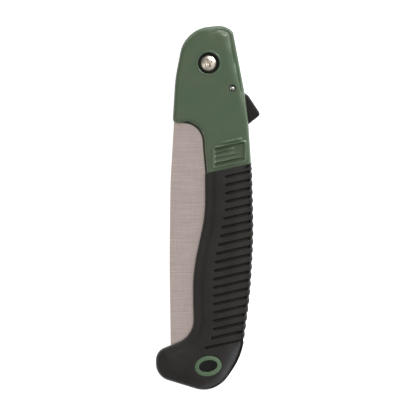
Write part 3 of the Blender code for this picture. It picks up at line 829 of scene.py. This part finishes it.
def rubber_material():
    """Soft moulded rubber: matt, slightly brown, with a pale speckle in its fine grain that stands partly for dust
    and partly for painted sheen.
    """
    dark, pale = (0.0103, 0.0085, 0.0067), (0.0155, 0.0131, 0.0106)
    n = Nodes("grip_rubber", dark, 0.6)
    n.shine(0.24)
    cloud = n.noise(60.0, 5.0, 0.65)
    fine = n.noise(2600.0, 3.0, 0.7)
    dust_and_sheen = n.noise(700.0, 4.0, 0.7)
    tone = n.blend(n.remap(cloud, 0.35, 0.68, 0.0, 1.0), dark, pale)
    # Pale speckle: partly dust, partly painted sheen.
    tone = n.blend(n.remap(dust_and_sheen, 0.6, 0.8, 0.0, 0.3), tone, (0.04, 0.037, 0.034))
    n.set("Base Color", tone)
    n.set("Roughness", n.remap(fine, 0.3, 0.7, 0.42, 0.58))
    n.set("Normal", n.bump(fine, 0.45, 0.00015, n.bump(cloud, 0.2, 0.0006)))
    return n.material


def ground_steel():
    """Blade steel with fine grinding lines across its length and faint cloudy tarnish."""
    n = Nodes("blade_ground_steel", (0.86, 0.74, 0.68), 0.33, 1.0)
    lines = n.noise(1.0, 4.0, 0.75, n.scaled((60.0, 3400.0, 400.0)))
    coarse = n.noise(1.0, 2.0, 0.5, n.scaled((700.0, 90.0, 100.0)))
    cloud = n.noise(26.0, 4.0, 0.55)
    tone = n.blend(n.remap(lines, 0.3, 0.7, 0.0, 1.0), (0.6, 0.5, 0.46), (0.84, 0.705, 0.655))
    tone = n.blend(n.remap(coarse, 0.45, 0.75, 0.0, 0.25), tone, (0.58, 0.485, 0.45))
    tone = n.blend(n.remap(cloud, 0.4, 0.7, 0.0, 0.25), tone, (0.73, 0.61, 0.55))
    n.set("Base Color", tone)
    n.set("Roughness", n.remap(lines, 0.3, 0.7, 0.18, 0.28))
    n.set("Normal", n.bump(lines, 0.25, 0.00006))
    return n.material


def plated_steel(name, colour, roughness):
    """Bright plating with small scratches and stains."""
    n = Nodes(name, colour, roughness, 1.0)
    stain = n.noise(420.0, 4.0, 0.6)
    scratch = n.noise(1.0, 3.0, 0.6, n.scaled((1500.0, 220.0, 800.0), math.radians(50)))
    n.set("Base Color", n.blend(n.remap(stain, 0.4, 0.75, 0.0, 0.6), colour, tuple(c * 0.62 for c in colour)))
    n.set("Roughness", n.remap(scratch, 0.35, 0.7, roughness - 0.06, roughness + 0.14))
    n.set("Normal", n.bump(scratch, 0.12, 0.00008))
    return n.material


def floor_material():
    """A pale light table: it glows evenly, except for a painted shadow under the lanyard eye, where its glow is
    turned off.
    """
    n = Nodes("pale_floor", (0.5, 0.5, 0.5), 0.8)
    n.set("Roughness", n.remap(n.noise(9.0), 0.3, 0.7, 0.75, 0.85))
    eye = to_frame([*EYE, 0.0])
    away = n.node("ShaderNodeVectorMath", i0=n.place, i1=(eye[0], eye[1], 0.0))
    away.operation = "DISTANCE"
    n.shader.inputs["Emission Color"].default_value = (1.0, 1.0, 1.0, 1.0)
    # Painted shadow: the glow fades to nothing within 8 to 12 mm of the spot under the lanyard eye, so the floor seen
    # through the eye stays dark.
    n.set("Emission Strength", n.remap(away.outputs["Value"], 0.008, 0.012, 0.0, 0.85))
    return n.material


def paint(piece, material):
    piece.data.materials.clear()
    piece.data.materials.append(material)


def finish_piece(piece, material, body, slot, *nodes):
    paint(piece, material)
    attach(piece, body)
    if nodes:
        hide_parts(*nodes)


# ---------------------------------------------------------------- hardware


NUT_FLATS = 8.0
LEVER_HALF = 4.0
LEVER_EDGE = 1.0
LEVER_OUTLINE = [  # about the pin, like the pawl's
    (-3.6, 1.0, 3.0),
    (1.4, 4.4, 3.2),
    (6.6, -2.2, 4.0),
    (9.9, -4.4, 2.5),
    (17.9, -16.5, 2.3),
    (9.4, -23.3, 1.0),
    (4.4, -23.3, 1.5),
    (1.6, -13.0, 6.0),
    (-3.4, -3.6, 3.0),
]
PAWL_OUTLINE = [
    (-3.0, -3.0, 2.6),
    (-2.9, 3.0, 2.0),
    (-1.6, 11.6, 0.3),
    (-2.9, 12.0, 0.3),
    (-2.75, 14.4, 0.3),
    (-0.1, 14.6, 0.8),
    (3.0, 3.0, 3.0),
    (7.0, -4.5, 2.0),
    (12.0, -16.0, 1.5),
    (7.0, -18.5, 1.5),
    (3.0, -6.0, 3.0),
]


def build_screw(plating):
    """Pan head with a cross recess. The shank below it is the CAD's."""
    base, height, radius = 5.9, 3.5, 5.1
    profile = [(0, -9.7), (2.2, -9.7), (2.5, -9.3), (2.5, base), (radius - 0.15, base), (radius, base + 0.15)]
    profile.append((radius, base + 1.3))
    for angle in np.radians(np.arange(15, 76, 12)):
        rim = radius - 1.15 * (1 - math.cos(angle))
        profile.append((rim, base + 1.3 + 1.15 * math.sin(angle)))
    for share in (0.62, 0.45, 0.3, 0.15):
        profile.append((radius * share, base + height - 0.85 * share**2))
    profile.append((0, base + height))
    screw = lathe("pivot_screw_fine", profile, 80)
    top = base + height
    arm_rings = []
    for level, half, reach in ((-2.6, 0.3, 0.5), (-2.2, 0.5, 1.7), (0.0, 0.72, 3.0), (1.0, 0.8, 3.3)):
        arm_rings.append((np.array([(-reach, -half), (reach, -half), (reach, half), (-reach, half)]), top + level))
    arms = []
    for turn in (25, 115):
        spin = math.radians(turn)
        rings = [(np.array([turned(point, spin) for point in plan]), level) for plan, level in arm_rings]
        arms.append(stack(f"cross_arm_{turn}", rings))
    cut(screw, *arms, smooth_angle=30)
    finish_piece(screw, plating, "handle", "zinc_steel", "pivot_screw")
    return screw


def build_washers(near_black, nylon):
    ring = [(2.8, 4.85), (2.95, 4.7), (6.15, 4.7), (6.3, 4.85), (6.3, 5.45), (6.15, 5.6), (2.95, 5.6), (2.8, 5.45)]
    # The washer under the screw head is near-black, which keeps the ring round the head dark.
    washer = lathe("screw_washer_fine", ring, 72)
    finish_piece(washer, near_black, "handle", "blackened_steel", "screw_washer")
    for name, side in (("blade_washer_upper", 1), ("blade_washer_lower", -1)):
        ring = [(4.3, 1.0), (9.0, 1.0), (9.0, 1.8), (8.9, 1.9), (4.4, 1.9), (4.3, 1.8)]
        washer = lathe(f"{name}_fine", [(radius, side * height) for radius, height in ring], 72)
        finish_piece(washer, nylon, "handle", "white_nylon", name)


def build_bush(plating):
    ring = [(2.8, -1.8), (3.0, -2.0), (3.8, -2.0), (4.0, -1.8), (4.0, 1.8), (3.8, 2.0), (3.0, 2.0), (2.8, 1.8)]
    bush = lathe("pivot_bush_fine", ring, 64)
    finish_piece(bush, plating, "handle", "zinc_steel", "pivot_bush")


def build_nut(plating, nylon):
    """Hexagon nut with chamfered corners, and a crimped collar round its nylon ring."""
    turned_profile = [
        (2.8, -8.1),
        (3.55, -8.1),
        (3.55, -9.5),
        (3.75, -9.5),
        (3.88, -9.3),
        (3.9, -7.9),
        (4.1, -7.9),
        (4.7, -7.55),
        (4.7, -5.05),
        (4.1, -4.7),
        (3.2, -4.7),
        (2.8, -5.1),
    ]
    nut = lathe("pivot_nut_fine", turned_profile, 72)
    hexagon = circle(NUT_FLATS / math.sqrt(3), 6, start=math.radians(30))
    combine(nut, [stack("nut_flats", [(hexagon, -20), (hexagon, 0)])], "INTERSECT", 30)
    finish_piece(nut, plating, "handle", "zinc_steel", "pivot_nut")
    ring = [(2.65, -9.2), (2.9, -9.4), (3.2, -9.42), (3.4, -9.3), (3.4, -8.3), (2.65, -8.3)]
    insert = lathe("nut_insert_fine", ring, 72)
    finish_piece(insert, nylon, "handle", "white_nylon", "nut_insert")


def build_lever(black):
    """The lever with rounded edges, and room inside it for the pawl, the spring and the pin."""
    plan = rounded(LEVER_OUTLINE, math.radians(8), 1.0) + np.array(PIN.xy)
    rings = []
    for turn in np.radians([0, 18, 36, 54, 72, 90]):
        rings.append((inset(plan, LEVER_EDGE * (1 - math.sin(turn))), LEVER_HALF - LEVER_EDGE * (1 - math.cos(turn))))
    rings = [(ring, -height) for ring, height in rings] + [(ring, height) for ring, height in rings[::-1]]
    lever = stack("lock_lever_fine", rings)
    without_nose = PAWL_OUTLINE[:2] + PAWL_OUTLINE[5:]
    pawl = inset(rounded(without_nose, math.radians(12), 3.0), -0.3) + np.array(PIN.xy)
    leg_room = np.array([(-9.0, -8.0), (-1.6, -8.0), (-0.6, 0.0), (-9.0, 0.0)]) + np.array(PIN.xy)
    cutters = [
        stack("pawl_pocket", [(pawl, -1.5), (pawl, 1.5)]),
        lathe("coil_room", [(0, 0), (3.7, 0), (3.7, 10), (0, 10)], 48, (PIN.x, PIN.y)),
        stack("leg_room", [(leg_room, 1.2), (leg_room, 10)]),
        lathe("lever_bore", [(0, -10), (1.55, -10), (1.55, 10), (0, 10)], 40, (PIN.x, PIN.y)),
    ]
    cut(lever, *cutters)
    finish_piece(lever, black, "lever", "black_plastic", "lock_lever")


def build_pawl(steel):
    plan = rounded(PAWL_OUTLINE, math.radians(10), 2.0) + np.array(PIN.xy)
    small = inset(plan, 0.15)
    pawl = stack("lock_pawl_fine", [(small, -1.2), (plan, -1.05), (plan, 1.05), (small, 1.2)])
    cut(pawl, lathe("pawl_bore", [(0, -10), (1.55, -10), (1.55, 10), (0, 10)], 40, (PIN.x, PIN.y)))
    finish_piece(pawl, steel, "lever", "blade_steel", "lock_pawl")


def build_spring(wire):
    """The torsion spring's wire, swept along the same coil and legs as in the CAD."""
    radius, coil, turns, per_turn = 0.32, 2.2, 2.5, 40
    low, high = 1.82, 3.68
    steps = round(turns * per_turn)
    path = [(-2.8, -6.2, low), (-2.6, -4.6, low), (-2.35, -2.4, low)]
    for k in range(steps + 1):
        at = turned((coil, 0.0), math.radians(175) - 2 * math.pi * turns * k / steps)
        path.append((at.x, at.y, low + (high - low) * k / steps))
    path.append((2.1, -2.3, high))
    path = [Vector(at) + PIN for at in path]
    points = []
    for i, at in enumerate(path):
        run = (path[min(i + 1, len(path) - 1)] - path[max(i - 1, 0)]).normalized()
        across = run.cross(Vector((0, 0, 1))).normalized()
        up = across.cross(run)
        for angle in np.linspace(0, 2 * np.pi, 13)[:-1]:
            points.append(at + (across * math.cos(angle) + up * math.sin(angle)) * radius)
    spring = make_piece("lever_spring_fine", np.array(points), tube_faces(len(path), 12), 50)
    finish_piece(spring, wire, "lever", "spring_steel", "lever_spring")


def build_pin(plating):
    half = 9.8
    profile = [(0, -half)]
    dome = [(0.35, 0.0), (0.65, 0.07), (0.87, 0.25), (1.0, 0.5), (1.07, 0.9), (1.1, 1.4)]
    profile += [(radius, drop - half) for radius, drop in dome]
    profile += [(radius, half - drop) for radius, drop in dome[::-1]]
    profile.append((0, half))
    pin = lathe("lever_pin_fine", profile, 40, (PIN.x, PIN.y))
    finish_piece(pin, plating, "handle", "zinc_steel", "lever_pin")
    return pin


# ---------------------------------------------------------------- stage


def area_light(name, place, size, power, target=(0.0, 0.0, 0.0), colour=(1.0, 1.0, 1.0)):
    data = bpy.data.lights.new(name, "AREA")
    data.shape = "RECTANGLE"
    data.size, data.size_y = size
    data.energy = power
    data.color = colour
    light = bpy.data.objects.new(name, data)
    bpy.context.scene.collection.objects.link(light)
    light.location = place
    light.rotation_mode = "QUATERNION"
    light.rotation_quaternion = (Vector(target) - Vector(place)).to_track_quat("-Z", "Y")
    return light


def build_stage():
    mesh = bpy.data.meshes.new("floor")
    half = 3.0
    corners = [(-half, -half, 0), (half, -half, 0), (half, half, 0), (-half, half, 0)]
    mesh.from_pydata(corners, [], [(0, 1, 2, 3)])
    floor = bpy.data.objects.new("floor", mesh)
    bpy.context.scene.collection.objects.link(floor)
    paint(floor, floor_material())

    world = bpy.data.worlds.new("studio")
    bpy.context.scene.world = world
    world.use_nodes = True
    tree = world.node_tree
    background = tree.nodes["Background"]
    background.inputs["Color"].default_value = (1.0, 1.0, 1.0, 1.0)
    # The room is brighter to the right than to the left, and brightest low down at the top right
    axes = tree.nodes.new("ShaderNodeSeparateXYZ")
    tree.links.new(tree.nodes.new("ShaderNodeTexCoord").outputs["Generated"], axes.inputs[0])

    def ramp(value, start, end, low, high):
        node = tree.nodes.new("ShaderNodeMapRange")
        tree.links.new(value, node.inputs["Value"])
        for name, level in (("From Min", start), ("From Max", end), ("To Min", low), ("To Max", high)):
            node.inputs[name].default_value = level
        return node.outputs[0]

    def combine(operation, first, second):
        node = tree.nodes.new("ShaderNodeMath")
        node.operation = operation
        tree.links.new(first, node.inputs[0])
        tree.links.new(second, node.inputs[1])
        return node.outputs[0]

    diagonal = combine("ADD", axes.outputs["X"], axes.outputs["Y"])
    glow = combine("MULTIPLY", ramp(axes.outputs["Z"], 0.05, 0.45, 5.5, 0.0), ramp(diagonal, 1.0, 1.35, 0.33, 1.0))
    overhead = ramp(axes.outputs["Z"], 0.88, 0.97, 0.0, 0.12)
    strength = combine("ADD", ramp(axes.outputs["X"], -0.8, 0.5, 0.16, 0.62), combine("ADD", glow, overhead))
    tree.links.new(strength, background.inputs["Strength"])
    cool = (0.94, 0.975, 1.0)
    area_light("key", (1.5, 1.6, 1.9), (0.7, 0.7), 74.0, colour=cool)
    area_light("top", (0.2, 2.4, 1.9), (0.7, 0.7), 8.0, colour=cool)
    area_light("low_top", (0.1, 2.9, 0.8), (0.9, 0.9), 18.0, colour=cool)
    area_light("low_right", (2.6, -1.4, 0.9), (0.9, 0.9), 30.0, colour=(0.6, 0.8, 1.0))
    area_light("fill", (-1.6, -0.6, 2.0), (1.2, 1.2), 6.0)


def build_camera():
    """Straight down from above, with 416 pixels across 262 mm of the saw's middle plane."""
    data = bpy.data.cameras.new("camera")
    data.lens = 600
    data.sensor_width = 36
    data.clip_start = 0.01
    camera = bpy.data.objects.new("camera", data)
    bpy.context.scene.collection.objects.link(camera)
    across = 416 * 0.63 * MM
    camera.location = (0.00008, -0.00028, PIVOT.z * MM + across * data.lens / data.sensor_width)
    bpy.context.scene.camera = camera


def main():
    for leftover in ("Cube", "Light", "Camera"):
        if leftover in bpy.data.objects:
            bpy.data.objects.remove(bpy.data.objects[leftover])
    bpy.context.scene.view_settings.view_transform = "Standard"

    green = moulded("handle_green", (0.045, 0.073, 0.0405), (0.0585, 0.077, 0.043), 0.27, 0.3)
    # A lighter copy of the handle green, painted light on the collar's faces.
    collar_painted_light_green = moulded("collar_painted_light_green", (0.058, 0.094, 0.05), (0.066, 0.103, 0.055), 0.42)
    rubber = rubber_material()
    steel = ground_steel()
    plating = plated_steel("bright_plating", (0.84, 0.75, 0.65), 0.3)
    black = moulded("lever_black", (0.0055, 0.0038, 0.003), (0.01, 0.007, 0.006), 0.42, 0.4, 0.22)
    nylon = moulded("natural_nylon", (0.7, 0.69, 0.64), (0.78, 0.77, 0.73), 0.5)
    # Near-black plating for the washer under the screw head.
    near_black = plated_steel("blackened_steel", (0.05, 0.048, 0.046), 0.45)
    wire = plated_steel("spring_wire", (0.5, 0.49, 0.48), 0.3)

    build_core(green, collar_painted_light_green)
    build_grip(rubber)
    build_blade(steel)
    build_screw(plating)
    build_pin(plating)
    build_washers(near_black, nylon)
    build_bush(plating)
    build_nut(plating, nylon)
    build_lever(black)
    build_pawl(steel)
    build_spring(wire)
    build_stage()
    build_camera()


main()
